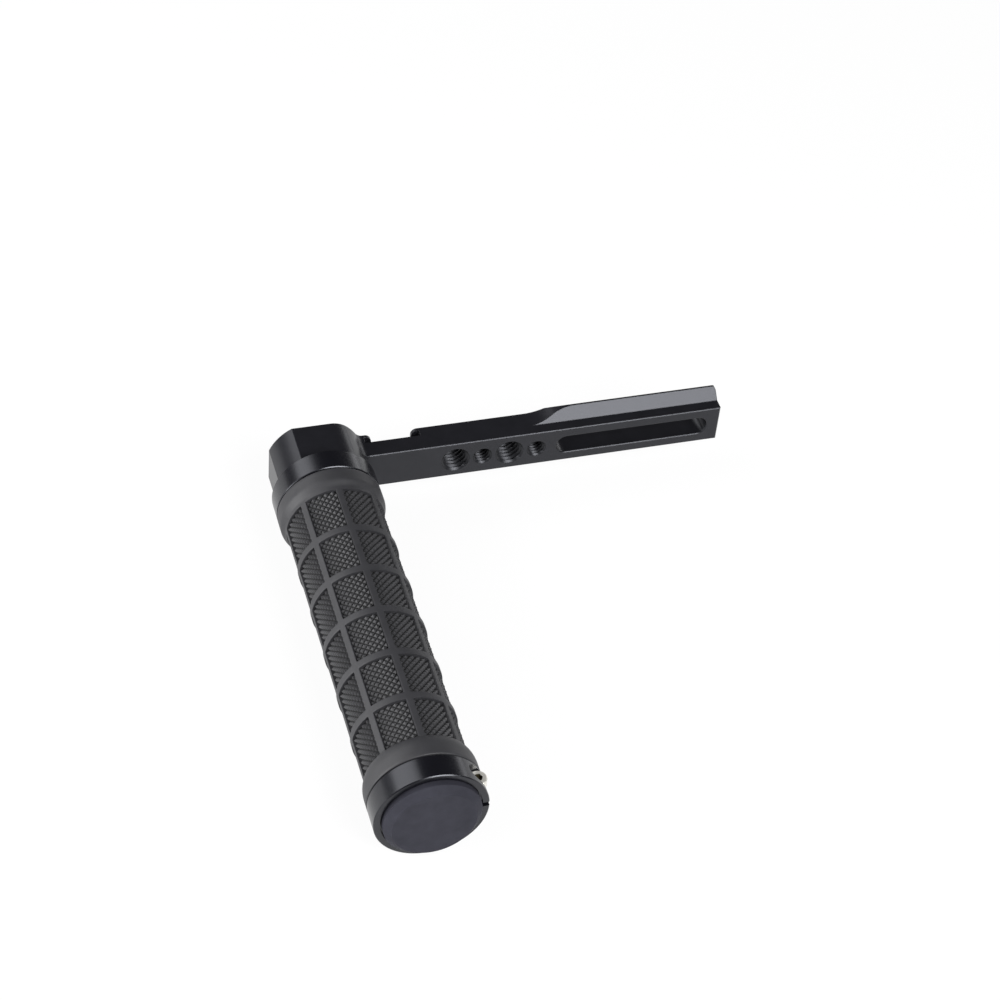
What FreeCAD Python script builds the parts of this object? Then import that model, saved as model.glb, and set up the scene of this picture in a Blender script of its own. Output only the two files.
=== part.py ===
"""Camera top handle: a machined arm with a dovetail rail, and a lock-on rubber grip square to it.

The grip's axis runs along -Y from the arm's head, the bar and its rail run along +X, and the
handle lies on its side with +Z up. Every body is drawn from the point where the grip's axis meets
the bar's front face, and is then moved so that the origin is under the middle of the handle.
"""
import FreeCAD, Part
import os
import re

import Sketcher

PARTS_FOLDER = "parts"

# Every size is in millimetres, and each is written once.
SIZES = (
    ("arm_thickness", 10.2, "front face of the bar to its back face"),
    ("bar_width", 14.0, "width of the bar between head and rail"),
    ("bar_edge", 0.3, "bevel along the bar's two long front edges"),
    ("arm_reach", 139.1, "grip axis to the tip of the rail"),
    ("tip_edge", 0.4, "bevel across the front edge of the tip"),
    ("head_radius", 16.2, "round head about the grip axis"),
    ("side_cut", 1.9, "depth that each side flat takes off the head's round"),
    ("end_cut", 1.15, "depth that the end flat takes off the head's round"),
    ("head_corner", 8.0, "rounding where a side flat runs into the round towards the bar"),
    ("neck_radius", 3.0, "fillet between the head's round and the bar"),
    ("boss_height", 5.4, "head standing proud of the bar's front face"),
    ("rail_width", 21.1, "width over the dovetail rail"),
    ("rail_neck", 3.9, "depth from the front face at which the rail's front bevel starts"),
    ("rail_chamfer", 2.2, "bevel along the rail's back edges"),
    ("ramp_start", 71.6, "grip axis to where the bar starts to widen"),
    ("ramp_length", 17.0, "length of the double curve from bar to rail"),
    ("tip_corner", 1.2, "rounding of the rail's two end corners"),
    ("slot_start", 81.2, "grip axis to the near end of the long slot"),
    ("slot_land", 4.4, "far end of the long slot to the tip of the rail"),
    ("slot_width", 7.0, "width of the long slot"),
    ("slot_edge", 0.3, "bevel round the slot's front rim"),
    ("hole_start", 46.0, "grip axis to the first threaded hole"),
    ("hole_pitch", 9.35, "distance from each threaded hole to the next"),
    ("large_thread", 9.525, "major diameter of the large threads"),
    ("small_thread", 6.35, "major diameter of the small threads"),
    ("large_sink", 9.7, "rim diameter of the large holes"),
    ("small_sink", 6.63, "rim diameter of the small holes"),
    ("shoe_centre", 25.9, "grip axis to the middle of the accessory shoe"),
    ("shoe_floor", 6.6, "front face to the floor of the shoe"),
    ("shoe_width", 18.8, "shoe under its lips"),
    ("shoe_opening", 13.6, "shoe between its lips"),
    ("lip_thickness", 1.2, "thickness of the shoe's lips"),
    ("lip_corner", 2.1, "rounding of the lips' corners at the mouths"),
    ("tube_diameter", 22.2, "grip tube outside"),
    ("tube_wall", 2.0, "wall of the grip tube"),
    ("tube_seat", 3.0, "depth of the tube's register in the head"),
    ("tube_plug", 14.0, "length of the tube's threaded solid end"),
    ("tube_gap", 0.2, "end of the tube short of the end plug's flange"),
    ("bolt_thread", 8.0, "tube bolt thread diameter"),
    ("bolt_grip", 12.0, "length of bolt inside the tube's end"),
    ("bolt_head", 13.0, "tube bolt head diameter"),
    ("bolt_head_height", 5.0, "tube bolt head height"),
    ("bolt_recess", 5.4, "depth of the counterbore for the bolt head"),
    ("bolt_play", 0.4, "radial clearance of the bolt's head and shank in the arm"),
    ("bolt_key", 5.0, "tube bolt socket across flats"),
    ("bolt_key_depth", 3.0, "depth of the tube bolt's socket"),
    ("fit_gap", 0.05, "radial clearance where round pieces slide together"),
    ("core_wall", 1.9, "outside of the tube to the outside of the grip core"),
    ("core_hold", 1.3, "length of core inside each clamp ring"),
    ("seam", 0.4, "gap between the rubber and each clamp ring"),
    ("sleeve_length", 121.8, "rubber sleeve from end to end"),
    ("rubber_wall", 4.45, "thickness of the rubber at its two collars"),
    ("collar_edge", 0.5, "bevel of each collar's outer rim"),
    ("near_collar", 3.8, "full-radius length of the collar beside the head"),
    ("near_slope", 4.9, "length over which that collar falls to the ribs"),
    ("far_collar", 3.5, "full-radius length of the outer collar"),
    ("far_slope", 4.6, "length over which the outer collar rises from the ribs"),
    ("slope_bulge", 0.35, "how far each collar's slope bulges outwards at its middle"),
    ("rib_drop", 1.17, "collars proud of the ribs"),
    ("panel_depth", 0.78, "ribs proud of the knurled panels, taken halfway up the knurl"),
    ("rib_width", 2.0, "width of the lengthwise ribs"),
    ("ring_rib_width", 2.5, "width of the ribs that run round"),
    ("first_ring_rib", 40.04, "front face of the bar to the first rib that runs round"),
    ("ring_rib_pitch", 17.84, "distance between ribs that run round"),
    ("rib_turn", 1.8, "degrees by which the ribs are turned from the top line"),
    ("ring_width", 7.9, "width of each clamp ring"),
    ("ring_drop", 0.05, "collars proud of the clamp rings"),
    ("ring_edge", 0.25, "bevel of the clamp rings' rims"),
    ("split_gap", 1.6, "gap in each clamp ring"),
    ("split_height", 0.75, "middle of that gap above the ring's centre plane"),
    ("screw_inset", 3.3, "each clamp ring's rim beside the rubber to its screw's axis"),
    ("screw_stand", 1.6, "outside of the grip core to the clamp screw's axis"),
    ("screw_seat", 4.8, "clamp screw's seat above the ring's centre plane"),
    ("screw_thread", 3.0, "clamp screw thread diameter"),
    ("screw_length", 12.0, "clamp screw under its head"),
    ("screw_head", 5.5, "clamp screw head diameter"),
    ("screw_head_height", 3.0, "clamp screw head height"),
    ("screw_head_edge", 0.3, "bevel of the clamp screw's head"),
    ("screw_key", 2.5, "clamp screw socket across flats"),
    ("screw_key_depth", 1.5, "depth of the clamp screw's socket"),
    ("screw_play", 0.15, "radial clearance of the screw's head and shank in the ring"),
    ("ring_face", 2.0, "width of the outer ring's face round the plug"),
    ("plug_play", 0.5, "gap round the end plug"),
    ("plug_slope", 2.15, "width of the bevel round the plug's face"),
    ("plug_rim", 1.4, "rim of the plug proud of the outer ring's face"),
    ("plug_chamfer", 2.05, "height of the bevel between the plug's rim and its face"),
    ("plug_recess_depth", 1.2, "depth of the outer ring's recess round the plug"),
    ("plug_shank", 12.0, "length of the plug inside the tube"),
)

PROFILE_RIBS = 8
RING_RIBS = 5
THREADED_PAIRS = 2
# How far a cutter runs past the faces that it cuts, so that it never ends on one.
OVERRUN = 1.0

doc = FreeCAD.newDocument("top_handle")
sheet = doc.addObject("Spreadsheet::Sheet", "Sizes")
for row, (alias, size, meaning) in enumerate(SIZES, start=1):
    sheet.set(f"A{row}", meaning)
    sheet.set(f"B{row}", str(size))
    sheet.setAlias(f"B{row}", alias)
doc.recompute()

NAMES = {alias for alias, _, _ in SIZES}


def formula(text):
    """Turns a formula written with the names of sizes into one that reads the sheet."""
    return re.sub(r"[a-z_]+", lambda word: f"Sizes.{word[0]}" if word[0] in NAMES else word[0], text)


def value(text):
    """The number that a formula of sizes gives now."""
    result = sheet.evalExpression(formula(text))
    return float(getattr(result, "Value", result))


# Stations along the grip, measured from the bar's front face, each from the one before it.
INNER_RING_END = "(boss_height + ring_width)"
SLEEVE_START = f"({INNER_RING_END} + seam)"
SLEEVE_END = f"({SLEEVE_START} + sleeve_length)"
RING_START = f"({SLEEVE_END} + seam)"
RING_END = f"({RING_START} + ring_width)"
PLUG_SEAT = f"({RING_END} - plug_recess_depth)"
GRIP_END = f"({RING_END} + plug_rim + plug_chamfer)"
TUBE_START = "(boss_height - tube_seat)"
TUBE_END = f"({PLUG_SEAT} - tube_gap)"
NEAR_PANELS = f"({SLEEVE_START} + near_collar + near_slope)"
FAR_PANELS = f"({SLEEVE_END} - far_collar - far_slope)"
# Stations along the arm, measured from the grip's axis.
RAIL_STEP = "((rail_width - bar_width) / 2)"
HEAD_SIDE = "(head_radius - side_cut)"
HEAD_END = "(head_radius - end_cut)"
SLOT_END = "(arm_reach - slot_land)"
# Radii of the grip, each from the one inside it, so that its pieces stay together.
TUBE_RADIUS = "(tube_diameter / 2)"
TUBE_BORE = f"({TUBE_RADIUS} - tube_wall)"
TUBE_FIT = f"({TUBE_RADIUS} + fit_gap)"
CORE_RADIUS = f"({TUBE_RADIUS} + core_wall)"
CORE_FIT = f"({CORE_RADIUS} + fit_gap)"
COLLAR_RADIUS = f"({CORE_RADIUS} + rubber_wall)"
RIB_RADIUS = f"({COLLAR_RADIUS} - rib_drop)"
PANEL_RADIUS = f"({RIB_RADIUS} - panel_depth)"
RING_RADIUS = f"({COLLAR_RADIUS} - ring_drop)"
SCREW_OFFSET = f"({CORE_RADIUS} + screw_stand)"
RECESS_RADIUS = f"({RING_RADIUS} - ring_face)"
PLUG_RADIUS = f"({RECESS_RADIUS} - plug_play)"


def new_body(label, turn=0.0):
    """An empty body, moved so that the handle's origin lies under its middle, and turned on the grip."""
    body = doc.addObject("PartDesign::Body", label)
    body.Label = label
    body.Placement = FreeCAD.Placement(FreeCAD.Vector(), FreeCAD.Rotation(FreeCAD.Vector(0, 1, 0), turn))
    body.setExpression("Placement.Base.x", formula(f"({COLLAR_RADIUS} - arm_reach) / 2"))
    body.setExpression("Placement.Base.y", formula(f"({GRIP_END} - arm_thickness) / 2"))
    body.setExpression("Placement.Base.z", formula(COLLAR_RADIUS))
    return body


def origin_plane(body, role):
    """One of a body's own origin planes or axes, found by its role."""
    return next(part for part in body.Origin.OriginFeatures if part.Role == role)


def new_sketch(body, name, role, offset=("0", "0", "0")):
    """An empty sketch on an origin plane, moved in the plane's own directions by three formulas."""
    sketch = body.newObject("Sketcher::SketchObject", name)
    sketch.AttachmentSupport = [(origin_plane(body, role), "")]
    sketch.MapMode = "FlatFace"
    for direction, distance in zip("xyz", offset):
        if distance != "0":
            sketch.setExpression(f"AttachmentOffset.Base.{direction}", formula(distance))
    return sketch


def bind(sketch, kind, name, places, text):
    """Adds one dimension to a sketch and binds it to a formula."""
    number = sketch.addConstraint(Sketcher.Constraint(kind, *places, value(text)))
    sketch.renameConstraint(number, name)
    sketch.setExpression(f"Constraints.{name}", formula(text))


def pin(sketch, name, edge, end, across, up):
    """Holds one end of an edge at two formulas' distances from the sketch's origin."""
    if across == "0":
        sketch.addConstraint(Sketcher.Constraint("PointOnObject", edge, end, -2))
    else:
        bind(sketch, "DistanceX", f"{name}_across", (-1, 1, edge, end), across)
    if up == "0":
        sketch.addConstraint(Sketcher.Constraint("PointOnObject", edge, end, -1))
    else:
        bind(sketch, "DistanceY", f"{name}_up", (-1, 1, edge, end), up)


def polygon(body, name, role, corners, offset=("0", "0", "0")):
    """A closed outline of straight lines, each corner held by two formulas."""
    sketch = new_sketch(body, name, role, offset)
    points = [FreeCAD.Vector(value(across), value(up), 0) for across, up in corners]
    count = len(points)
    for number, point in enumerate(points):
        sketch.addGeometry(Part.LineSegment(point, points[(number + 1) % count]))
    for number in range(count):
        sketch.addConstraint(Sketcher.Constraint("Coincident", number, 2, (number + 1) % count, 1))
    for number, (across, up) in enumerate(corners):
        pin(sketch, f"corner{number}", number, 1, across, up)
    return sketch


def circles(body, name, role, centres, radius, offset=("0", "0", "0")):
    """Circles of one radius about centres that are held by formulas."""
    sketch = new_sketch(body, name, role, offset)
    for number, (across, up) in enumerate(centres):
        centre = FreeCAD.Vector(value(across), value(up), 0)
        sketch.addGeometry(Part.Circle(centre, FreeCAD.Vector(0, 0, 1), value(radius)))
        pin(sketch, f"centre{number}", number, 3, across, up)
        bind(sketch, "Radius", f"radius{number}", (number,), radius)
    return sketch


def turned(body, name, kind, sketch):
    """Material added or cut by turning a profile round the sketch's upright axis."""
    feature = body.newObject(f"PartDesign::{kind}", name)
    feature.Profile = sketch
    feature.ReferenceAxis = (sketch, ["V_Axis"])
    feature.Angle = 360
    return feature


def pushed(body, name, kind, sketch, depth):
    """Material added along the sketch's direction, or cut against it, to the depth of a formula."""
    feature = body.newObject(f"PartDesign::{kind}", name)
    feature.Profile = sketch
    feature.setExpression("Length", formula(depth))
    return feature


def dressed(body, name, kind, size_name, size, choose):
    """Bevels or rounds the edges of the body's tip that a test of middle and direction picks."""
    doc.recompute()
    base = body.Tip
    chosen = []
    for number, edge in enumerate(base.Shape.Edges, start=1):
        middle = edge.valueAt((edge.FirstParameter + edge.LastParameter) / 2)
        if choose(edge, middle):
            chosen.append(f"Edge{number}")
    feature = body.newObject(f"PartDesign::{kind}", name)
    feature.Base = (base, chosen)
    feature.setExpression(size_name, formula(size))
    return feature


def near(first, second, tolerance=0.02):
    """Whether two lengths are the same."""
    return abs(first - second) < tolerance


def runs_along(edge, direction):
    """Whether an edge is straight and lies along a direction."""
    if not isinstance(edge.Curve, Part.Line):
        return False
    return abs(edge.Curve.Direction.dot(FreeCAD.Vector(*direction))) > 0.999


def head_outline(body):
    """The head in plan: a round with two side flats and an end flat."""
    sketch = new_sketch(body, "head_outline", "XZ_Plane", ("0", "0", "-arm_thickness"))
    radius = value("head_radius")
    side = value(HEAD_SIDE)
    end = value(HEAD_END)
    side_across = (radius**2 - side**2) ** 0.5
    end_up = (radius**2 - end**2) ** 0.5
    corners = [
        FreeCAD.Vector(side_across, side, 0),
        FreeCAD.Vector(-side_across, side, 0),
        FreeCAD.Vector(-end, end_up, 0),
        FreeCAD.Vector(-end, -end_up, 0),
        FreeCAD.Vector(-side_across, -side, 0),
        FreeCAD.Vector(side_across, -side, 0),
    ]
    round_path = Part.Circle(FreeCAD.Vector(), FreeCAD.Vector(0, 0, 1), radius)
    for number in (0, 2, 4):
        sketch.addGeometry(Part.LineSegment(corners[number], corners[number + 1]))
        start = corners[number + 1]
        stop = corners[(number + 2) % 6]
        sketch.addGeometry(
            Part.ArcOfCircle(round_path, round_path.parameter(start), round_path.parameter(stop))
        )
    for number in range(6):
        sketch.addConstraint(Sketcher.Constraint("Coincident", number, 2, (number + 1) % 6, 1))
    for arc in (1, 3, 5):
        sketch.addConstraint(Sketcher.Constraint("Coincident", arc, 3, -1, 1))
    sketch.addConstraint(Sketcher.Constraint("Equal", 1, 3))
    sketch.addConstraint(Sketcher.Constraint("Equal", 3, 5))
    sketch.addConstraint(Sketcher.Constraint("Horizontal", 0))
    sketch.addConstraint(Sketcher.Constraint("Vertical", 2))
    sketch.addConstraint(Sketcher.Constraint("Horizontal", 4))
    bind(sketch, "Radius", "round", (5,), "head_radius")
    bind(sketch, "DistanceY", "upper_flat", (-1, 1, 0, 1), HEAD_SIDE)
    bind(sketch, "DistanceY", "lower_flat", (-1, 1, 4, 1), f"-{HEAD_SIDE}")
    bind(sketch, "DistanceX", "end_flat", (-1, 1, 2, 1), f"-{HEAD_END}")
    return sketch


def rail_outline(body):
    """Half of the rail in plan, with the double curve by which it grows out of the bar."""
    sketch = new_sketch(body, "rail_outline", "XZ_Plane", ("0", "0", "-arm_thickness"))
    start = value("ramp_start")
    length = value("ramp_length")
    tip = value("arm_reach")
    corner = value("tip_corner")
    inner = value("bar_width / 2")
    outer = value("rail_width / 2")
    step = outer - inner
    bend = (length**2 + step**2) / (4 * step)
    middle = FreeCAD.Vector(start + length / 2, (inner + outer) / 2, 0)
    upward = FreeCAD.Vector(0, 0, 1)
    corner_path = Part.Circle(FreeCAD.Vector(tip - corner, outer - corner, 0), upward, corner)
    outer_path = Part.Circle(FreeCAD.Vector(start + length, outer - bend, 0), upward, bend)
    inner_path = Part.Circle(FreeCAD.Vector(start, inner + bend, 0), upward, bend)

    def arc(path, first, last):
        return Part.ArcOfCircle(path, path.parameter(first), path.parameter(last))

    root_start = FreeCAD.Vector(start, 0, 0)
    root_tip = FreeCAD.Vector(tip, 0, 0)
    tip_corner = FreeCAD.Vector(tip, outer - corner, 0)
    side_tip = FreeCAD.Vector(tip - corner, outer, 0)
    side_start = FreeCAD.Vector(start + length, outer, 0)
    bar_side = FreeCAD.Vector(start, inner, 0)
    sketch.addGeometry(Part.LineSegment(root_start, root_tip))
    sketch.addGeometry(Part.LineSegment(root_tip, tip_corner))
    sketch.addGeometry(arc(corner_path, tip_corner, side_tip))
    sketch.addGeometry(Part.LineSegment(side_tip, side_start))
    sketch.addGeometry(arc(outer_path, side_start, middle))
    sketch.addGeometry(arc(inner_path, bar_side, middle))
    sketch.addGeometry(Part.LineSegment(bar_side, root_start))
    for places in ((0, 2, 1, 1), (5, 1, 6, 1), (6, 2, 0, 1)):
        sketch.addConstraint(Sketcher.Constraint("Coincident", *places))
    for places in ((1, 2, 2, 1), (2, 2, 3, 1), (3, 2, 4, 1), (4, 2, 5, 2)):
        sketch.addConstraint(Sketcher.Constraint("Tangent", *places))
    sketch.addConstraint(Sketcher.Constraint("Vertical", 5, 3, 6, 1))
    sketch.addConstraint(Sketcher.Constraint("Equal", 4, 5))
    sketch.addConstraint(Sketcher.Constraint("Vertical", 1))
    sketch.addConstraint(Sketcher.Constraint("Horizontal", 3))
    sketch.addConstraint(Sketcher.Constraint("Vertical", 6))
    pin(sketch, "root_start", 0, 1, "ramp_start", "0")
    pin(sketch, "root_tip", 0, 2, "arm_reach", "0")
    bind(sketch, "Radius", "corner", (2,), "tip_corner")
    bind(sketch, "DistanceY", "half_rail", (-1, 1, 3, 1), "rail_width / 2")
    bind(sketch, "DistanceX", "ramp_end", (-1, 1, 3, 2), "ramp_start + ramp_length")
    bind(sketch, "DistanceY", "half_bar", (-1, 1, 6, 1), "bar_width / 2")
    return sketch


def slot_outline(body):
    """The long slot in plan: two straight sides between half rounds."""
    sketch = new_sketch(body, "slot_outline", "XZ_Plane", ("0", "0", f"{OVERRUN}"))
    radius = value("slot_width / 2")
    first = value("slot_start + slot_width / 2")
    last = value(f"{SLOT_END} - slot_width / 2")
    upward = FreeCAD.Vector(0, 0, 1)
    right_path = Part.Circle(FreeCAD.Vector(last, 0, 0), upward, radius)
    left_path = Part.Circle(FreeCAD.Vector(first, 0, 0), upward, radius)
    right_low = FreeCAD.Vector(last, -radius, 0)
    right_high = FreeCAD.Vector(last, radius, 0)
    left_high = FreeCAD.Vector(first, radius, 0)
    left_low = FreeCAD.Vector(first, -radius, 0)
    sketch.addGeometry(Part.LineSegment(left_low, right_low))
    sketch.addGeometry(
        Part.ArcOfCircle(right_path, right_path.parameter(right_low), right_path.parameter(right_high))
    )
    sketch.addGeometry(Part.LineSegment(right_high, left_high))
    sketch.addGeometry(
        Part.ArcOfCircle(left_path, left_path.parameter(left_high), left_path.parameter(left_low))
    )
    for number in range(4):
        sketch.addConstraint(Sketcher.Constraint("Tangent", number, 2, (number + 1) % 4, 1))
    sketch.addConstraint(Sketcher.Constraint("Equal", 1, 3))
    pin(sketch, "far_centre", 1, 3, f"{SLOT_END} - slot_width / 2", "0")
    pin(sketch, "near_centre", 3, 3, "slot_start + slot_width / 2", "0")
    bind(sketch, "Radius", "half_width", (1,), "slot_width / 2")
    return sketch


def add_bar_bevels(body):
    """Bevels the bar's two long front edges, from the end of the neck's fillet to the tip."""
    half_bar = "bar_width / 2"
    neck_end = f"sqrt((head_radius + neck_radius) ^ 2 - ({half_bar} + neck_radius) ^ 2)"
    corner = polygon(body, "bar_bevel_corner", "YZ_Plane", (
        (f"-{OVERRUN}", f"{half_bar} - bar_edge - {OVERRUN}"),
        (f"bar_edge + {OVERRUN}", f"{half_bar} + {OVERRUN}"),
        (f"-{OVERRUN}", f"{half_bar} + {OVERRUN}"),
    ), ("0", "0", f"arm_reach + {OVERRUN}"))
    bevel = pushed(body, "bar_bevel", "Pocket", corner, f"arm_reach + {OVERRUN} - {neck_end}")
    mirror(body, "bar_bevels", [bevel])


def mirror(body, name, features):
    """Repeats features on the other side of the arm's middle plane."""
    doc.recompute()
    other_side = body.newObject("PartDesign::Mirrored", name)
    other_side.Originals = features
    other_side.MirrorPlane = (origin_plane(body, "XY_Plane"), [""])
    body.Tip = other_side


def add_rail(body):
    """Widens the bar into the dovetail rail, bevelled in front and behind, on both sides."""
    outline = rail_outline(body)
    flange = pushed(body, "rail_flange", "Pad", outline, "arm_thickness - rail_neck")
    half_bar = "bar_width / 2"
    half_rail = "rail_width / 2"
    past_tip = ("0", "0", f"arm_reach + {OVERRUN}")
    cut_length = f"arm_reach + {OVERRUN} - ramp_start"
    front = polygon(body, "rail_front", "YZ_Plane", (
        (f"rail_neck - {OVERRUN}", half_bar),
        ("rail_neck", half_bar),
        (f"rail_neck + {RAIL_STEP}", half_rail),
        (f"rail_neck + {RAIL_STEP}", f"{half_rail} + {OVERRUN}"),
        (f"rail_neck - {OVERRUN}", f"{half_rail} + {OVERRUN}"),
    ), past_tip)
    front_bevel = pushed(body, "rail_front_bevel", "Pocket", front, cut_length)
    back = polygon(body, "rail_back", "YZ_Plane", (
        ("arm_thickness", f"{half_rail} - rail_chamfer"),
        (f"arm_thickness + {OVERRUN}", f"{half_rail} - rail_chamfer"),
        (f"arm_thickness + {OVERRUN}", f"{half_rail} + {OVERRUN}"),
        ("arm_thickness - rail_chamfer", f"{half_rail} + {OVERRUN}"),
        ("arm_thickness - rail_chamfer", half_rail),
    ), past_tip)
    back_bevel = pushed(body, "rail_back_bevel", "Pocket", back, cut_length)
    mirror(body, "rail_other_side", [flange, front_bevel, back_bevel])


def add_threaded_holes(body, name, first, thread, rim):
    """Two holes of one thread, each a double pitch from the other, with a narrow bevel at both faces."""
    in_front = ("0", "0", f"{OVERRUN}")
    sketch = circles(body, f"{name}_plan", "XZ_Plane", ((first, "0"),), f"{thread} / 2", in_front)
    hole = pushed(body, name, "Pocket", sketch, f"arm_thickness + 2 * {OVERRUN}")
    doc.recompute()
    row = body.newObject("PartDesign::LinearPattern", f"{name}_row")
    row.Originals = [hole]
    row.Direction = (origin_plane(body, "X_Axis"), [""])
    row.setExpression("Length", formula("2 * hole_pitch"))
    row.Occurrences = THREADED_PAIRS
    body.Tip = row
    radius = value(f"{thread} / 2")

    def is_rim(edge, middle):
        return isinstance(edge.Curve, Part.Circle) and near(edge.Curve.Radius, radius, 0.001)

    dressed(body, f"{name}_rims", "Chamfer", "Size", f"({rim} - {thread}) / 2", is_rim)


def add_shoe(body):
    """The accessory shoe: a T-shaped channel across the bar's back, with rounded lips."""
    left = "(shoe_centre - shoe_width / 2)"
    right = "(shoe_centre + shoe_width / 2)"
    mouth_left = "(shoe_centre - shoe_opening / 2)"
    mouth_right = "(shoe_centre + shoe_opening / 2)"
    under_lip = "(arm_thickness - lip_thickness)"
    outside = f"(arm_thickness + {OVERRUN})"
    channel = polygon(body, "shoe_channel", "XY_Plane", (
        (left, "shoe_floor"),
        (right, "shoe_floor"),
        (right, under_lip),
        (mouth_right, under_lip),
        (mouth_right, outside),
        (mouth_left, outside),
        (mouth_left, under_lip),
        (left, under_lip),
    ), ("0", "0", f"bar_width / 2 + {OVERRUN}"))
    pushed(body, "shoe", "Pocket", channel, f"bar_width + 2 * {OVERRUN}")
    lip_middle = value(f"({under_lip} + arm_thickness) / 2")
    sides = (value(mouth_left), value(mouth_right))
    half_bar = value("bar_width / 2")

    def is_lip_corner(edge, middle):
        at_mouth = any(near(middle.x, side) for side in sides) and near(abs(middle.z), half_bar)
        return runs_along(edge, (0, 1, 0)) and at_mouth and near(middle.y, lip_middle)

    dressed(body, "lip_corners", "Fillet", "Radius", "lip_corner", is_lip_corner)


def make_arm():
    """The arm: head, bar and rail, machined as one piece."""
    body = new_body("arm")
    pushed(body, "head", "Pad", head_outline(body), "arm_thickness + boss_height")
    side_across = value(f"sqrt(head_radius ^ 2 - {HEAD_SIDE} ^ 2)")
    side_up = value(HEAD_SIDE)

    def is_head_corner(edge, middle):
        return runs_along(edge, (0, 1, 0)) and near(middle.x, side_across) and near(abs(middle.z), side_up)

    dressed(body, "head_corners", "Fillet", "Radius", "head_corner", is_head_corner)
    half_bar = "bar_width / 2"
    bar = polygon(body, "bar_outline", "XZ_Plane", (
        ("0", f"-{half_bar}"),
        ("arm_reach", f"-{half_bar}"),
        ("arm_reach", half_bar),
        ("0", half_bar),
    ), ("0", "0", "-arm_thickness"))
    pushed(body, "bar", "Pad", bar, "arm_thickness")
    neck_across = value("sqrt(head_radius ^ 2 - bar_width ^ 2 / 4)")
    neck_up = value(half_bar)

    def is_neck(edge, middle):
        return runs_along(edge, (0, 1, 0)) and near(middle.x, neck_across) and near(abs(middle.z), neck_up)

    dressed(body, "neck", "Fillet", "Radius", "neck_radius", is_neck)
    add_bar_bevels(body)
    add_rail(body)
    pushed(body, "slot", "Pocket", slot_outline(body), f"arm_thickness + 2 * {OVERRUN}")
    slot_from = value("slot_start")
    slot_to = value(SLOT_END)
    slot_half = value("slot_width / 2")

    def is_slot_rim(edge, middle):
        inside = slot_from - 0.01 <= middle.x <= slot_to + 0.01 and abs(middle.z) <= slot_half + 0.01
        return near(middle.y, 0) and inside

    dressed(body, "slot_rim", "Chamfer", "Size", "slot_edge", is_slot_rim)
    reach = value("arm_reach")

    def is_tip_edge(edge, middle):
        return runs_along(edge, (0, 0, 1)) and near(middle.x, reach) and near(middle.y, 0)

    dressed(body, "tip_bevel", "Chamfer", "Size", "tip_edge", is_tip_edge)

    add_threaded_holes(body, "large_holes", "hole_start", "large_thread", "large_sink")
    add_threaded_holes(body, "small_holes", "hole_start + hole_pitch", "small_thread", "small_sink")
    add_shoe(body)
    shank = "bolt_thread / 2 + bolt_play"
    head = "bolt_head / 2 + bolt_play"
    seat = polygon(body, "tube_seat_profile", "XY_Plane", (
        ("0", f"-boss_height - {OVERRUN}"),
        (TUBE_FIT, f"-boss_height - {OVERRUN}"),
        (TUBE_FIT, f"-{TUBE_START}"),
        (shank, f"-{TUBE_START}"),
        (shank, "arm_thickness - bolt_recess"),
        (head, "arm_thickness - bolt_recess"),
        (head, f"arm_thickness + {OVERRUN}"),
        ("0", f"arm_thickness + {OVERRUN}"),
    ))
    turned(body, "tube_seat", "Groove", seat)
    return body


def make_grip_tube():
    """The aluminium tube inside the grip, with a solid end tapped for the bolt."""
    body = new_body("grip_tube")
    profile = polygon(body, "tube_profile", "XY_Plane", (
        ("bolt_thread / 2 + fit_gap", f"-{TUBE_START}"),
        (TUBE_RADIUS, f"-{TUBE_START}"),
        (TUBE_RADIUS, f"-{TUBE_END}"),
        (TUBE_BORE, f"-{TUBE_END}"),
        (TUBE_BORE, f"-({TUBE_START} + tube_plug)"),
        ("bolt_thread / 2 + fit_gap", f"-({TUBE_START} + tube_plug)"),
    ))
    turned(body, "tube", "Revolution", profile)
    return body


def make_grip_core():
    """The hard plastic tube under the rubber, which reaches into both clamp rings."""
    body = new_body("grip_core")
    near_end = f"({INNER_RING_END} - core_hold)"
    far_end = f"({RING_START} + core_hold)"
    profile = polygon(body, "core_profile", "XY_Plane", (
        (TUBE_FIT, f"-{near_end}"),
        (CORE_RADIUS, f"-{near_end}"),
        (CORE_RADIUS, f"-{far_end}"),
        (TUBE_FIT, f"-{far_end}"),
    ))
    turned(body, "core", "Revolution", profile)
    return body


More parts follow.
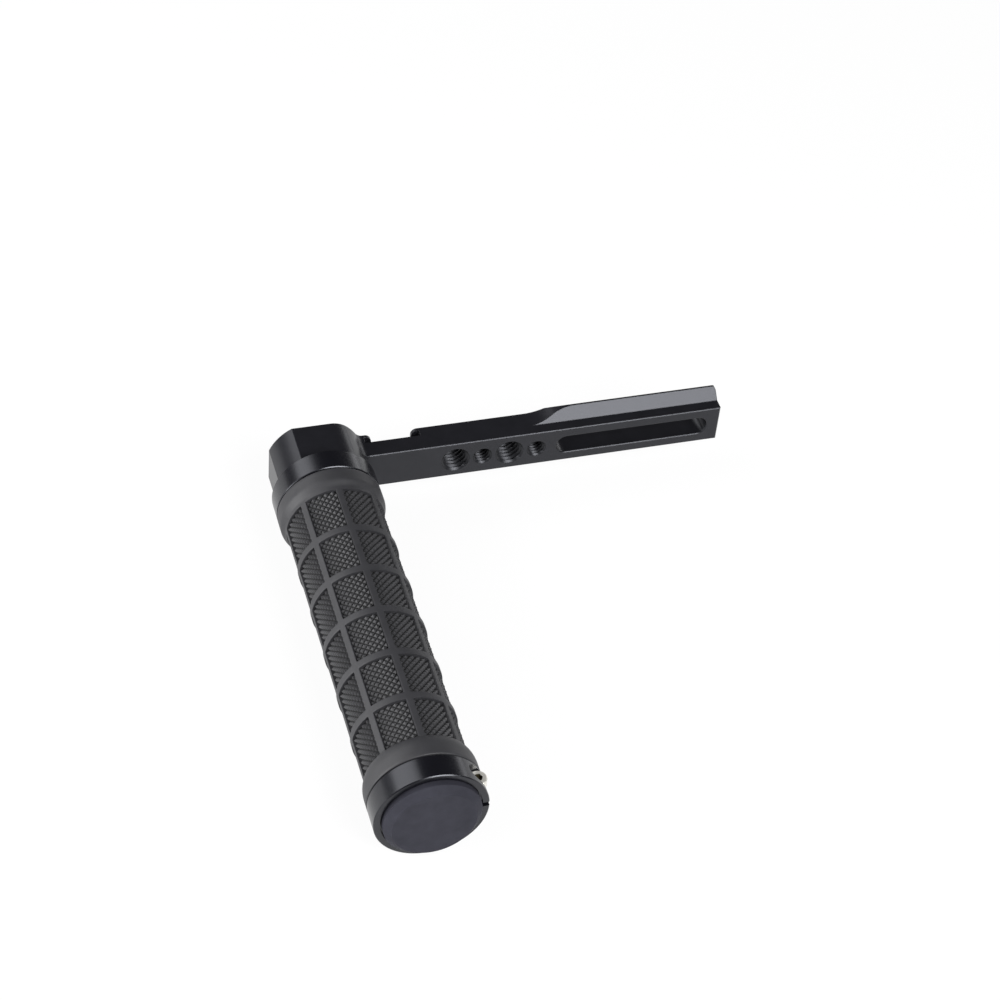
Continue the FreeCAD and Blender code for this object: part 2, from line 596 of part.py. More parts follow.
def long_rib_section(body, root):
    """A lengthwise rib across its length: two flat sides under the round top that all ribs share."""
    sketch = new_sketch(body, "long_rib_section", "XZ_Plane", ("0", "0", NEAR_PANELS))
    sketch.AttachmentOffset = FreeCAD.Placement(FreeCAD.Vector(), FreeCAD.Rotation(value("rib_turn"), 0, 0))
    sketch.setExpression("AttachmentOffset.Rotation.Angle", formula("rib_turn"))
    half = value("rib_width / 2")
    low = value(root)
    radius = value(RIB_RADIUS)
    high = (radius**2 - half**2) ** 0.5
    low_left = FreeCAD.Vector(-half, low, 0)
    low_right = FreeCAD.Vector(half, low, 0)
    high_right = FreeCAD.Vector(half, high, 0)
    high_left = FreeCAD.Vector(-half, high, 0)
    top = Part.Circle(FreeCAD.Vector(), FreeCAD.Vector(0, 0, 1), radius)
    sketch.addGeometry(Part.LineSegment(low_left, low_right))
    sketch.addGeometry(Part.LineSegment(low_right, high_right))
    sketch.addGeometry(Part.ArcOfCircle(top, top.parameter(high_right), top.parameter(high_left)))
    sketch.addGeometry(Part.LineSegment(high_left, low_left))
    for number in range(4):
        sketch.addConstraint(Sketcher.Constraint("Coincident", number, 2, (number + 1) % 4, 1))
    sketch.addConstraint(Sketcher.Constraint("Coincident", 2, 3, -1, 1))
    sketch.addConstraint(Sketcher.Constraint("Vertical", 1))
    sketch.addConstraint(Sketcher.Constraint("Vertical", 3))
    bind(sketch, "Radius", "top", (2,), RIB_RADIUS)
    pin(sketch, "low_left", 0, 1, "-rib_width / 2", root)
    pin(sketch, "low_right", 0, 2, "rib_width / 2", root)
    return sketch


def make_rubber_sleeve():
    """The moulded rubber: two collars, and between them a grid of ribs over sunk panels."""
    body = new_body("rubber_sleeve")
    bulge = f"({RIB_RADIUS} + {COLLAR_RADIUS}) / 2 + slope_bulge"
    profile = polygon(body, "sleeve_profile", "XY_Plane", (
        (CORE_FIT, f"-{SLEEVE_START}"),
        (f"{COLLAR_RADIUS} - collar_edge", f"-{SLEEVE_START}"),
        (COLLAR_RADIUS, f"-({SLEEVE_START} + collar_edge)"),
        (COLLAR_RADIUS, f"-({SLEEVE_START} + near_collar)"),
        (bulge, f"-({NEAR_PANELS} - near_slope / 2)"),
        (RIB_RADIUS, f"-{NEAR_PANELS}"),
        (PANEL_RADIUS, f"-{NEAR_PANELS}"),
        (PANEL_RADIUS, f"-{FAR_PANELS}"),
        (RIB_RADIUS, f"-{FAR_PANELS}"),
        (bulge, f"-({FAR_PANELS} + far_slope / 2)"),
        (COLLAR_RADIUS, f"-({SLEEVE_END} - far_collar)"),
        (COLLAR_RADIUS, f"-({SLEEVE_END} - collar_edge)"),
        (f"{COLLAR_RADIUS} - collar_edge", f"-{SLEEVE_END}"),
        (CORE_FIT, f"-{SLEEVE_END}"),
    ))
    turned(body, "sleeve", "Revolution", profile)
    root = f"({CORE_RADIUS} + {PANEL_RADIUS}) / 2"
    ring = polygon(body, "ring_rib_profile", "XY_Plane", (
        (root, "-(first_ring_rib - ring_rib_width / 2)"),
        (RIB_RADIUS, "-(first_ring_rib - ring_rib_width / 2)"),
        (RIB_RADIUS, "-(first_ring_rib + ring_rib_width / 2)"),
        (root, "-(first_ring_rib + ring_rib_width / 2)"),
    ))
    ring_rib = turned(body, "ring_rib", "Revolution", ring)
    doc.recompute()
    ring_ribs = body.newObject("PartDesign::LinearPattern", "ring_ribs")
    ring_ribs.Originals = [ring_rib]
    ring_ribs.Direction = (origin_plane(body, "Y_Axis"), [""])
    ring_ribs.Reversed = True
    ring_ribs.setExpression("Length", formula(f"{RING_RIBS - 1} * ring_rib_pitch"))
    ring_ribs.Occurrences = RING_RIBS
    body.Tip = ring_ribs
    section = long_rib_section(body, root)
    long_rib = pushed(body, "long_rib", "Pad", section, f"{FAR_PANELS} - {NEAR_PANELS}")
    doc.recompute()
    long_ribs = body.newObject("PartDesign::PolarPattern", "long_ribs")
    long_ribs.Originals = [long_rib]
    long_ribs.Axis = (origin_plane(body, "Y_Axis"), [""])
    long_ribs.Angle = 360
    long_ribs.Occurrences = PROFILE_RIBS
    body.Tip = long_ribs
    return body


def cut_clamp(body, middle, start):
    """Splits a clamp ring and sinks its screw across the gap, with a seat open to the outside."""
    above = f"{RING_RADIUS} + {OVERRUN}"
    gap = polygon(body, "gap_outline", "XZ_Plane", (
        ("0", "split_height - split_gap / 2"),
        (above, "split_height - split_gap / 2"),
        (above, "split_height + split_gap / 2"),
        ("0", "split_height + split_gap / 2"),
    ), ("0", "0", f"{start} + ring_width + {OVERRUN}"))
    pushed(body, "gap", "Pocket", gap, f"ring_width + 2 * {OVERRUN}")
    place = ((SCREW_OFFSET, f"-{middle}"),)
    outside = ("0", "0", above)
    pocket = circles(body, "head_pocket_plan", "XY_Plane", place, "screw_head / 2 + screw_play", outside)
    pushed(body, "head_pocket", "Pocket", pocket, f"{above} - screw_seat")
    hole = circles(body, "screw_hole_plan", "XY_Plane", place, "screw_thread / 2 + screw_play", outside)
    pushed(body, "screw_hole", "Pocket", hole, f"2 * ({above})")


def make_inner_clamp_ring():
    """The split ring between the head and the rubber, turned so that its screw is underneath."""
    body = new_body("inner_clamp_ring", turn=90.0)
    step = f"({INNER_RING_END} - core_hold)"
    profile = polygon(body, "ring_profile", "XY_Plane", (
        (TUBE_FIT, "-boss_height"),
        (f"{RING_RADIUS} - ring_edge", "-boss_height"),
        (RING_RADIUS, "-(boss_height + ring_edge)"),
        (RING_RADIUS, f"-({INNER_RING_END} - ring_edge)"),
        (f"{RING_RADIUS} - ring_edge", f"-{INNER_RING_END}"),
        (CORE_FIT, f"-{INNER_RING_END}"),
        (CORE_FIT, f"-{step}"),
        (TUBE_FIT, f"-{step}"),
    ))
    turned(body, "ring", "Revolution", profile)
    cut_clamp(body, f"({INNER_RING_END} - screw_inset)", "boss_height")
    return body


def make_outer_clamp_ring():
    """The split ring at the outer end, recessed round the end plug."""
    body = new_body("outer_clamp_ring")
    step = f"({RING_START} + core_hold)"
    profile = polygon(body, "ring_profile", "XY_Plane", (
        (CORE_FIT, f"-{RING_START}"),
        (f"{RING_RADIUS} - ring_edge", f"-{RING_START}"),
        (RING_RADIUS, f"-({RING_START} + ring_edge)"),
        (RING_RADIUS, f"-({RING_END} - ring_edge)"),
        (f"{RING_RADIUS} - ring_edge", f"-{RING_END}"),
        (RECESS_RADIUS, f"-{RING_END}"),
        (RECESS_RADIUS, f"-{PLUG_SEAT}"),
        (TUBE_FIT, f"-{PLUG_SEAT}"),
        (TUBE_FIT, f"-{step}"),
        (CORE_FIT, f"-{step}"),
    ))
    turned(body, "ring", "Revolution", profile)
    cut_clamp(body, f"({RING_START} + screw_inset)", RING_START)
    return body


def hexagon(body, name, role, key, offset):
    """The outline of a hexagon socket, given across its flats, about the offset sketch's origin."""
    point = f"{key} / sqrt(3)"
    corners = (
        (point, "0"),
        (f"{point} / 2", f"{key} / 2"),
        (f"-{point} / 2", f"{key} / 2"),
        (f"-{point}", "0"),
        (f"-{point} / 2", f"-{key} / 2"),
        (f"{point} / 2", f"-{key} / 2"),
    )
    return polygon(body, name, role, corners, offset)


def make_clamp_screw(label, middle, turn):
    """A socket-head screw that closes a clamp ring, upright at the ring's side before any turn."""
    body = new_body(label, turn)
    profile = polygon(body, "screw_profile", "XZ_Plane", (
        ("0", "-screw_length"),
        ("screw_thread / 2", "-screw_length"),
        ("screw_thread / 2", "0"),
        ("screw_head / 2", "0"),
        ("screw_head / 2", "screw_head_height - screw_head_edge"),
        ("screw_head / 2 - screw_head_edge", "screw_head_height"),
        ("0", "screw_head_height"),
    ), (SCREW_OFFSET, "screw_seat", middle))
    turned(body, "screw", "Revolution", profile)
    top = "screw_seat + screw_head_height"
    socket = hexagon(body, "socket_outline", "XY_Plane", "screw_key", (SCREW_OFFSET, f"-{middle}", top))
    pushed(body, "socket", "Pocket", socket, "screw_key_depth")
    return body


def make_end_plug():
    """The plug in the tube's outer end: a shank and a bevelled flange."""
    body = new_body("end_plug")
    shank = f"{TUBE_BORE} - fit_gap"
    profile = polygon(body, "plug_profile", "XY_Plane", (
        ("0", f"-({PLUG_SEAT} - plug_shank)"),
        (shank, f"-({PLUG_SEAT} - plug_shank)"),
        (shank, f"-{PLUG_SEAT}"),
        (PLUG_RADIUS, f"-{PLUG_SEAT}"),
        (PLUG_RADIUS, f"-({RING_END} + plug_rim)"),
        (f"{PLUG_RADIUS} - plug_slope", f"-{GRIP_END}"),
        ("0", f"-{GRIP_END}"),
    ))
    turned(body, "plug", "Revolution", profile)
    return body


def make_tube_bolt():
    """The low-head socket bolt that holds the tube to the arm, entered from the back of the head."""
    body = new_body("tube_bolt")
    seat = "(arm_thickness - bolt_recess)"
    profile = polygon(body, "bolt_profile", "XY_Plane", (
        ("0", f"-({TUBE_START} + bolt_grip)"),
        ("bolt_thread / 2", f"-({TUBE_START} + bolt_grip)"),
        ("bolt_thread / 2", seat),
        ("bolt_head / 2", seat),
        ("bolt_head / 2", f"{seat} + bolt_head_height"),
        ("0", f"{seat} + bolt_head_height"),
    ))
    turned(body, "bolt", "Revolution", profile)
    top = f"{seat} + bolt_head_height"
    socket = hexagon(body, "socket_outline", "XZ_Plane", "bolt_key", ("0", "0", f"-({top})"))
    cut = pushed(body, "socket", "Pocket", socket, "bolt_key_depth")
    cut.Reversed = True
    return body


def check(shape, name):
    """Stops when a finished piece is empty or its shape is faulty."""
    if shape.isNull() or not shape.isValid() or shape.Volume <= 0:
        raise RuntimeError(f"{name} has no valid shape")


bodies = [
    make_arm(),
    make_grip_tube(),
    make_grip_core(),
    make_rubber_sleeve(),
    make_inner_clamp_ring(),
    make_outer_clamp_ring(),
    make_clamp_screw("inner_clamp_screw", f"({INNER_RING_END} - screw_inset)", turn=90.0),
    make_clamp_screw("outer_clamp_screw", f"({RING_START} + screw_inset)", turn=0.0),
    make_end_plug(),
    make_tube_bolt(),
]
doc.recompute()

for item in doc.Objects:
    if "Invalid" in item.State or "Error" in item.State:
        raise RuntimeError(f"{item.Label} failed: {item.State}")

os.makedirs(PARTS_FOLDER, exist_ok=True)
for body in bodies:
    check(body.Shape, body.Label)
    body.Shape.exportStep(os.path.join(PARTS_FOLDER, f"{body.Label}.step"))
    print(body.Label, round(body.Shape.Volume, 1), "cubic millimetres,", len(body.Shape.Solids), "solid")
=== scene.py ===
"""The looks of a camera top handle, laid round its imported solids.

The round rubber grip lies along -Y, the machined arm with its dovetail rail along +X, and the
handle rests on its side on a pale floor. Every length here is in metres.
"""
import logging
import math
from dataclasses import dataclass, field, replace
from enum import Enum

import bmesh
import bpy
import numpy as np
from mathutils import Euler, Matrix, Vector


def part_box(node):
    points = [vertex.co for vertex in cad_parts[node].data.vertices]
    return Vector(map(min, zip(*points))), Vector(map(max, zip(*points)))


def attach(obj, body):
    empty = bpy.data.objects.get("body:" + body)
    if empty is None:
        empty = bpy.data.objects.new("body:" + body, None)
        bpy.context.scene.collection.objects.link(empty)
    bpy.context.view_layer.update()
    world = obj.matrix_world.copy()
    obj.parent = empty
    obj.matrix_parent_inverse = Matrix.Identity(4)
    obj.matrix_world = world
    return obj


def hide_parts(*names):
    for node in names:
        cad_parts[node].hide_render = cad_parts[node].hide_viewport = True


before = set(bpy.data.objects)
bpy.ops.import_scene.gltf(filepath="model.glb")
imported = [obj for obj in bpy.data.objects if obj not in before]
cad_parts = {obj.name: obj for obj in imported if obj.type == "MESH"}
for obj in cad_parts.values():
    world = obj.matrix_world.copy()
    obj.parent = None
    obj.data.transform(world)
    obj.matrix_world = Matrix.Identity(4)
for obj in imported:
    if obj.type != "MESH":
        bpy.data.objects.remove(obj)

log = logging.getLogger("top_handle")

MM = 0.001
INCH = 25.4 * MM
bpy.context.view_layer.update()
# Creases sharper than this many degrees stay crisp, and the rest shades smoothly.
CREASE = 27.0
# Points nearer than the first are one, and edges shorter than the second vanish.
WELD_REACH = 0.0005 * MM
SHORT_EDGE = 0.0002 * MM
# What counts as zero: in a length, in a distance from a panel's edge, in a share of a knurl cell.
LENGTH_SLACK = 1e-9
EDGE_SLACK = 1e-7
CELL_SLACK = 1e-4
# The finishes' two noises, where their tones end, and rays for the rounding of edges.
TONE_NOISE = {"Detail": 4.0, "Roughness": 0.6}
GRAIN_NOISE = {"Detail": 3.0, "Roughness": 0.65}
TONE_STOPS = (0.3, 0.7)
EDGE_SAMPLES = 6
WHITE = (1.0, 1.0, 1.0, 1.0)


class Slot(Enum):
    """The record's material slots meant for new pieces."""

    ARM = "black_anodised"
    RUBBER = "grip_rubber"


class Graph:
    """A material's nodes, with short calls that add and join them."""

    def __init__(self, name: str) -> None:
        """Starts an empty material.

        Args:
            name: The material's name.
        """
        self.material = bpy.data.materials.new(name)
        self.material.use_nodes = True
        self.nodes = self.material.node_tree.nodes
        self.nodes.clear()

    def add(self, kind: str, **settings: object) -> bpy.types.Node:
        """Adds one node.

        Args:
            kind: The node's type, without the word ShaderNode.
            settings: Properties, or numbers for sockets whose names are given with underscores.

        Returns:
            The new node.
        """
        node = self.nodes.new(f"ShaderNode{kind}")
        for key, setting in settings.items():
            if hasattr(node, key):
                setattr(node, key, setting)
            else:
                node.inputs[key.replace("_", " ")].default_value = setting
        return node

    def join(self, source: bpy.types.NodeSocket, target: bpy.types.NodeSocket) -> None:
        """Links one socket to another."""
        self.material.node_tree.links.new(source, target)


@dataclass(frozen=True)
class Finish:
    """A solid finish with a fine grain, slow changes of tone and uneven gloss.

    Attributes:
        name: The material's name.
        colour: Linear base colour.
        roughness: Mean roughness.
        gloss_change: How far roughness strays from its mean.
        metallic: 0 for paint, plastic and dark anodising, 1 for bare metal.
        specular: Strength of the surface reflection, 0.5 for most plain surfaces.
        glint: Colour of the surface reflection.
        grain: Size of the fine grain.
        grain_depth: Height of the fine grain.
        tone_change: How far the base colour strays, as a share.
        tone_size: Size of the patches of tone.
        edge: Width over which sharp edges catch the light as if they were rounded.
        stretch: How much the grain is drawn out along X, Y and Z.
    """

    name: str
    colour: tuple[float, float, float]
    roughness: float
    gloss_change: float = 0.05
    metallic: float = 0.0
    specular: float = 0.5
    glint: tuple[float, float, float] = (1.0, 1.0, 1.0)
    grain: float = 0.12 * MM
    grain_depth: float = 0.004 * MM
    tone_change: float = 0.15
    tone_size: float = 6.0 * MM
    edge: float = 0.0
    stretch: tuple[float, float, float] = (1.0, 1.0, 1.0)

    def make(self) -> bpy.types.Material:
        """Builds the material: two noises drive tone and gloss, and a finer one the bump.

        Returns:
            The material.
        """
        graph = Graph(self.name)
        place = graph.add("TexCoord").outputs["Object"]
        drawn = graph.add("Mapping", Scale=self.stretch)
        graph.join(place, drawn.inputs["Vector"])
        tone = graph.add("TexNoise", Scale=1 / self.tone_size, **TONE_NOISE)
        graph.join(place, tone.inputs["Vector"])
        grain = graph.add("TexNoise", Scale=1 / self.grain, **GRAIN_NOISE)
        graph.join(drawn.outputs["Vector"], grain.inputs["Vector"])
        ramp = graph.add("ValToRGB")
        changes = (-self.tone_change, self.tone_change)
        for stop, position, change in zip(ramp.color_ramp.elements, TONE_STOPS, changes):
            stop.position = position
            stop.color = (*(part * (1 + change) for part in self.colour), 1.0)
        graph.join(tone.outputs["Fac"], ramp.inputs["Fac"])
        gloss = graph.add("MapRange")
        gloss.inputs["To Min"].default_value = self.roughness - self.gloss_change
        gloss.inputs["To Max"].default_value = self.roughness + self.gloss_change
        graph.join(grain.outputs["Fac"], gloss.inputs["Value"])
        bump = graph.add("Bump", Strength=1.0, Distance=self.grain_depth)
        graph.join(grain.outputs["Fac"], bump.inputs["Height"])
        if self.edge:
            rounded = graph.add("Bevel", samples=EDGE_SAMPLES)
            rounded.inputs["Radius"].default_value = self.edge
            graph.join(rounded.outputs["Normal"], bump.inputs["Normal"])
        colour, roughness = self.adorn(graph, place, ramp.outputs["Color"], gloss.outputs["Result"])
        surface = graph.add("BsdfPrincipled")
        surface.inputs["Metallic"].default_value = self.metallic
        surface.inputs["Specular IOR Level"].default_value = self.specular
        surface.inputs["Specular Tint"].default_value = (*self.glint, 1.0)
        graph.join(colour, surface.inputs["Base Color"])
        graph.join(roughness, surface.inputs["Roughness"])
        graph.join(bump.outputs["Normal"], surface.inputs["Normal"])
        output = graph.add("OutputMaterial")
        graph.join(surface.outputs["BSDF"], output.inputs["Surface"])
        return graph.material

    def adorn(
        self, graph: Graph, place: bpy.types.NodeSocket, colour: bpy.types.NodeSocket,
        roughness: bpy.types.NodeSocket,
    ) -> tuple[bpy.types.NodeSocket, bpy.types.NodeSocket]:
        """Lets a finish change its colour and roughness from place to place.

        Args:
            graph: The material's nodes.
            place: Object coordinates.
            colour: The plain finish's colour.
            roughness: The plain finish's roughness.

        Returns:
            The colour and roughness that the surface gets.
        """
        return colour, roughness

    @staticmethod
    def distance(
        graph: Graph, place: bpy.types.NodeSocket, centre: tuple[float, float, float],
        keep: tuple[float, float, float],
    ) -> bpy.types.NodeSocket:
        """Measures distance from a line through a centre, along one of the axes.

        Args:
            graph: The material's nodes.
            place: Object coordinates.
            centre: A point of the line.
            keep: 0 for the line's own axis, and 1 for the other two.

        Returns:
            The distance.
        """
        moved = graph.add("VectorMath", operation="SUBTRACT")
        moved.inputs[1].default_value = centre
        graph.join(place, moved.inputs[0])
        flat = graph.add("VectorMath", operation="MULTIPLY")
        flat.inputs[1].default_value = keep
        graph.join(moved.outputs["Vector"], flat.inputs[0])
        length = graph.add("VectorMath", operation="LENGTH")
        graph.join(flat.outputs["Vector"], length.inputs[0])
        return length.outputs["Value"]

    @staticmethod
    def tint(
        graph: Graph, shade_mask: bpy.types.NodeSocket, colour: bpy.types.NodeSocket,
        other: tuple[float, float, float], roughness: bpy.types.NodeSocket, change: float,
    ) -> tuple[bpy.types.NodeSocket, bpy.types.NodeSocket]:
        """Paints shade, a darker colour and more roughness, on what a mask covers.

        Args:
            graph: The material's nodes.
            shade_mask: 1 where the tint is full, and 0 where there is none.
            colour: The untinted colour.
            other: The colour of the painted shade.
            roughness: The untinted roughness.
            change: What a full tint adds to it.

        Returns:
            The colour and roughness with the tint.
        """
        mix = graph.add("MixRGB")
        mix.inputs["Color2"].default_value = (*other, 1.0)
        graph.join(shade_mask, mix.inputs["Fac"])
        graph.join(colour, mix.inputs["Color1"])
        rougher = graph.add("Math", operation="MULTIPLY_ADD")
        rougher.inputs[1].default_value = change
        graph.join(shade_mask, rougher.inputs[0])
        graph.join(roughness, rougher.inputs[2])
        return mix.outputs["Color"], rougher.outputs["Value"]


@dataclass(frozen=True)
class GripFinish(Finish):
    """Moulded rubber, rougher in its grooves and painted nearly black there as shade.

    Attributes:
        centre: A point of the grip's axis, which lies along Y.
        groove: Radius under which the rubber is dull and its painted shade is full.
        crest: Radius over which it has neither.
        groove_shade_colour: Colour of the painted shade in the grooves.
        dullness: How much rougher the grooves are.
    """

    centre: tuple[float, float, float] = (0.0, 0.0, 0.0)
    groove: float = 15.14 * MM
    crest: float = 15.32 * MM
    # Painted shade: the nearly black colour of the grooves.
    groove_shade_colour: tuple[float, float, float] = (0.002, 0.002, 0.002)
    dullness: float = 0.4

    def adorn(
        self, graph: Graph, place: bpy.types.NodeSocket, colour: bpy.types.NodeSocket,
        roughness: bpy.types.NodeSocket,
    ) -> tuple[bpy.types.NodeSocket, bpy.types.NodeSocket]:
        """Paints shade on the grooves and dulls them, by their distance from the grip's axis.

        Args:
            graph: The material's nodes.
            place: Object coordinates.
            colour: The plain finish's colour.
            roughness: The plain finish's roughness.

        Returns:
            The colour and roughness that the surface gets.
        """
        radius = self.distance(graph, place, self.centre, (1.0, 0.0, 1.0))
        depth = graph.add("MapRange")
        depth.inputs["From Min"].default_value = self.crest
        depth.inputs["From Max"].default_value = self.groove
        graph.join(radius, depth.inputs["Value"])
        # The grooves' painted shade: 1 at the groove radius and 0 at the crest.
        shade_mask = depth.outputs["Result"]
        return self.tint(graph, shade_mask, colour, self.groove_shade_colour, roughness, self.dullness)


@dataclass(frozen=True)
class SocketFinish(Finish):
    """Bright steel with painted shade in its key socket, which is also rougher.

    Attributes:
        centre: Middle of the screw head's end, whose axis is upright.
        key: Radius of the socket that holds the painted shade.
        skin: Depth under the head's end at which the painted shade starts.
        socket_shade: Colour of the painted shade in the socket.
        dullness: How much rougher the socket is.
    """

    centre: tuple[float, float, float] = (0.0, 0.0, 0.0)
    key: float = 1.46 * MM
    skin: float = 0.04 * MM
    # Painted shade in the key socket, a dark olive brown.
    socket_shade: tuple[float, float, float] = (0.055, 0.045, 0.022)
    dullness: float = 0.2

    def adorn(
        self, graph: Graph, place: bpy.types.NodeSocket, colour: bpy.types.NodeSocket,
        roughness: bpy.types.NodeSocket,
    ) -> tuple[bpy.types.NodeSocket, bpy.types.NodeSocket]:
        """Stains what lies within the socket and under the head's end.

        Args:
            graph: The material's nodes.
            place: Object coordinates.
            colour: The plain finish's colour.
            roughness: The plain finish's roughness.

        Returns:
            The colour and roughness that the surface gets.
        """
        radius = self.distance(graph, place, self.centre, (1.0, 1.0, 0.0))
        within = graph.add("Math", operation="LESS_THAN")
        within.inputs[1].default_value = self.key
        graph.join(radius, within.inputs[0])
        parts = graph.add("SeparateXYZ")
        graph.join(place, parts.inputs["Vector"])
        under = graph.add("Math", operation="LESS_THAN")
        under.inputs[1].default_value = self.centre[2] - self.skin
        graph.join(parts.outputs["Z"], under.inputs[0])
        both = graph.add("Math", operation="MULTIPLY")
        graph.join(within.outputs["Value"], both.inputs[0])
        graph.join(under.outputs["Value"], both.inputs[1])
        # The socket's painted shade covers what is both within it and under the head's end.
        shade_mask = both.outputs["Value"]
        return self.tint(graph, shade_mask, colour, self.socket_shade, roughness, self.dullness)


COOL = (0.90, 0.92, 1.0)
ANODISED = Finish("black_anodised", (0.0080, 0.0080, 0.0100), 0.31, specular=0.38, glint=COOL,
                  grain=0.16 * MM, grain_depth=0.0035 * MM, edge=0.35 * MM)
THREAD_ANODISED = Finish("thread_anodised", (0.003, 0.003, 0.004), 0.40, glint=COOL,
                         grain=0.5 * MM, grain_depth=0.0005 * MM)
GLOSS_RING = Finish("gloss_anodised", (0.003, 0.003, 0.0045), 0.25, gloss_change=0.012,
                    specular=0.55, glint=COOL, grain=0.5 * MM, grain_depth=0.0001 * MM)
PLASTIC = Finish("plug_plastic", (0.026, 0.026, 0.034), 0.72, specular=0.14, glint=COOL,
                 grain=0.22 * MM, grain_depth=0.006 * MM)
CORE_PLASTIC = Finish("hard_plastic", (0.02, 0.02, 0.02), 0.5)
BRIGHT_STEEL = Finish("bright_steel", (0.78, 0.76, 0.70), 0.34, metallic=0.6, grain=0.3 * MM,
                      grain_depth=0.001 * MM, tone_change=0.08)
# The outer screw's steel, with painted shade in its key socket.
SOCKET_SHADED_STEEL = SocketFinish("socket_shaded_steel", (0.78, 0.76, 0.70), 0.34, metallic=0.6,
                             grain=0.3 * MM, grain_depth=0.001 * MM)
BLACK_STEEL = Finish("black_steel", (0.03, 0.03, 0.032), 0.38, metallic=0.4, grain=0.15 * MM)
TURNED_ALUMINIUM = Finish("bare_aluminium", (0.60, 0.60, 0.62), 0.3, metallic=1.0,
                          stretch=(1.0, 8.0, 1.0))
# The rubber, with painted shade in its grooves.
RUBBER = GripFinish("grip_rubber", (0.022, 0.022, 0.025), 0.56, gloss_change=0.06,
                    grain=0.20 * MM, grain_depth=0.003 * MM)


def put_mesh(name: str, points: np.ndarray, faces: np.ndarray) -> bpy.types.Object:
    """Puts arrays of points and faces into a new object at the origin.

    Args:
        name: The piece's name.
        points: Corners, as rows of x, y and z.
        faces: Rows of corner numbers, all with as many corners.

    Returns:
        The object, shaded smoothly between its creases.
    """
    mesh = bpy.data.meshes.new(name)
    count, corners = faces.shape
    mesh.vertices.add(len(points))
    mesh.vertices.foreach_set("co", points.astype(np.float32).ravel())
    mesh.loops.add(count * corners)
    mesh.loops.foreach_set("vertex_index", faces.astype(np.int32).ravel())
    mesh.polygons.add(count)
    mesh.polygons.foreach_set("loop_start", np.arange(count, dtype=np.int32) * corners)
    mesh.update(calc_edges=True)
    mesh.validate()
    mesh.polygons.foreach_set("use_smooth", np.ones(len(mesh.polygons), dtype=bool))
    mesh.set_sharp_from_angle(angle=math.radians(CREASE))
    piece = bpy.data.objects.new(name, mesh)
    bpy.context.scene.collection.objects.link(piece)
    return piece


def net_faces(flip: np.ndarray) -> np.ndarray:
    """Triangles over a grid of points whose rows and columns close on themselves.

    Args:
        flip: For the cell after each point, whether its diagonal runs the other way.

    Returns:
        Rows of three point numbers.
    """
    rows, columns = flip.shape
    row, column = np.meshgrid(np.arange(rows), np.arange(columns), indexing="ij")
    next_row = (row + 1) % rows
    next_column = (column + 1) % columns
    a = row * columns + column
    b = row * columns + next_column
    c = next_row * columns + next_column
    d = next_row * columns + column
    first = np.where(flip[..., None], np.stack([a, b, d], -1), np.stack([a, b, c], -1))
    second = np.where(flip[..., None], np.stack([b, c, d], -1), np.stack([a, c, d], -1))
    return np.concatenate([first.reshape(-1, 3), second.reshape(-1, 3)])


def weld(piece: bpy.types.Object) -> None:
    """Merges points that coincide, as at a thread's ends, and turns the faces outwards.

    Args:
        piece: The object whose mesh is mended.
    """
    work = bmesh.new()
    work.from_mesh(piece.data)
    bmesh.ops.remove_doubles(work, verts=work.verts, dist=WELD_REACH)
    bmesh.ops.dissolve_degenerate(work, edges=work.edges, dist=SHORT_EDGE)
    bmesh.ops.recalc_face_normals(work, faces=work.faces)
    work.to_mesh(piece.data)
    work.free()
    piece.data.set_sharp_from_angle(angle=math.radians(CREASE))


def dress(piece: bpy.types.Object, finish: Finish, slot: Slot, *nodes: str) -> None:
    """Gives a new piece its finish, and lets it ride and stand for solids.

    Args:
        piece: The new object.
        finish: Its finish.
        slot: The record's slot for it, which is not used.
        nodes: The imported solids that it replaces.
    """
    piece.data.materials.clear()
    piece.data.materials.append(finish.make())
    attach(piece, "root")
    if nodes:
        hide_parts(*nodes)


def repaint(node: str, finish: Finish) -> None:
    """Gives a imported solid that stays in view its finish.

    Args:
        node: The solid's node.
        finish: Its finish.
    """
    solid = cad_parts[node]
    material = finish.make()
    if not solid.material_slots:
        solid.data.materials.append(material)
    for place in solid.material_slots:
        place.material = material


@dataclass
class GripAxis:
    """The grip's axis, found from the tube's box: along -Y from the arm."""

    across: float = field(init=False)
    height: float = field(init=False)

    def __post_init__(self) -> None:
        """Reads the tube's box."""
        low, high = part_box("grip_tube")
        self.across = (low.x + high.x) / 2
        self.height = (low.z + high.z) / 2

    def points(self, radius: np.ndarray, turn: np.ndarray, along: np.ndarray) -> np.ndarray:
        """Turns radius, angle from +X towards +Z, and y into points.

        Args:
            radius: Distances from the axis.
            turn: Angles, in radians.
            along: Places along Y.

        Returns:
            Points, with x, y and z last.
        """
        x = self.across + radius * np.cos(turn)
        z = self.height + radius * np.sin(turn)
        return np.stack(np.broadcast_arrays(x, along, z), axis=-1)


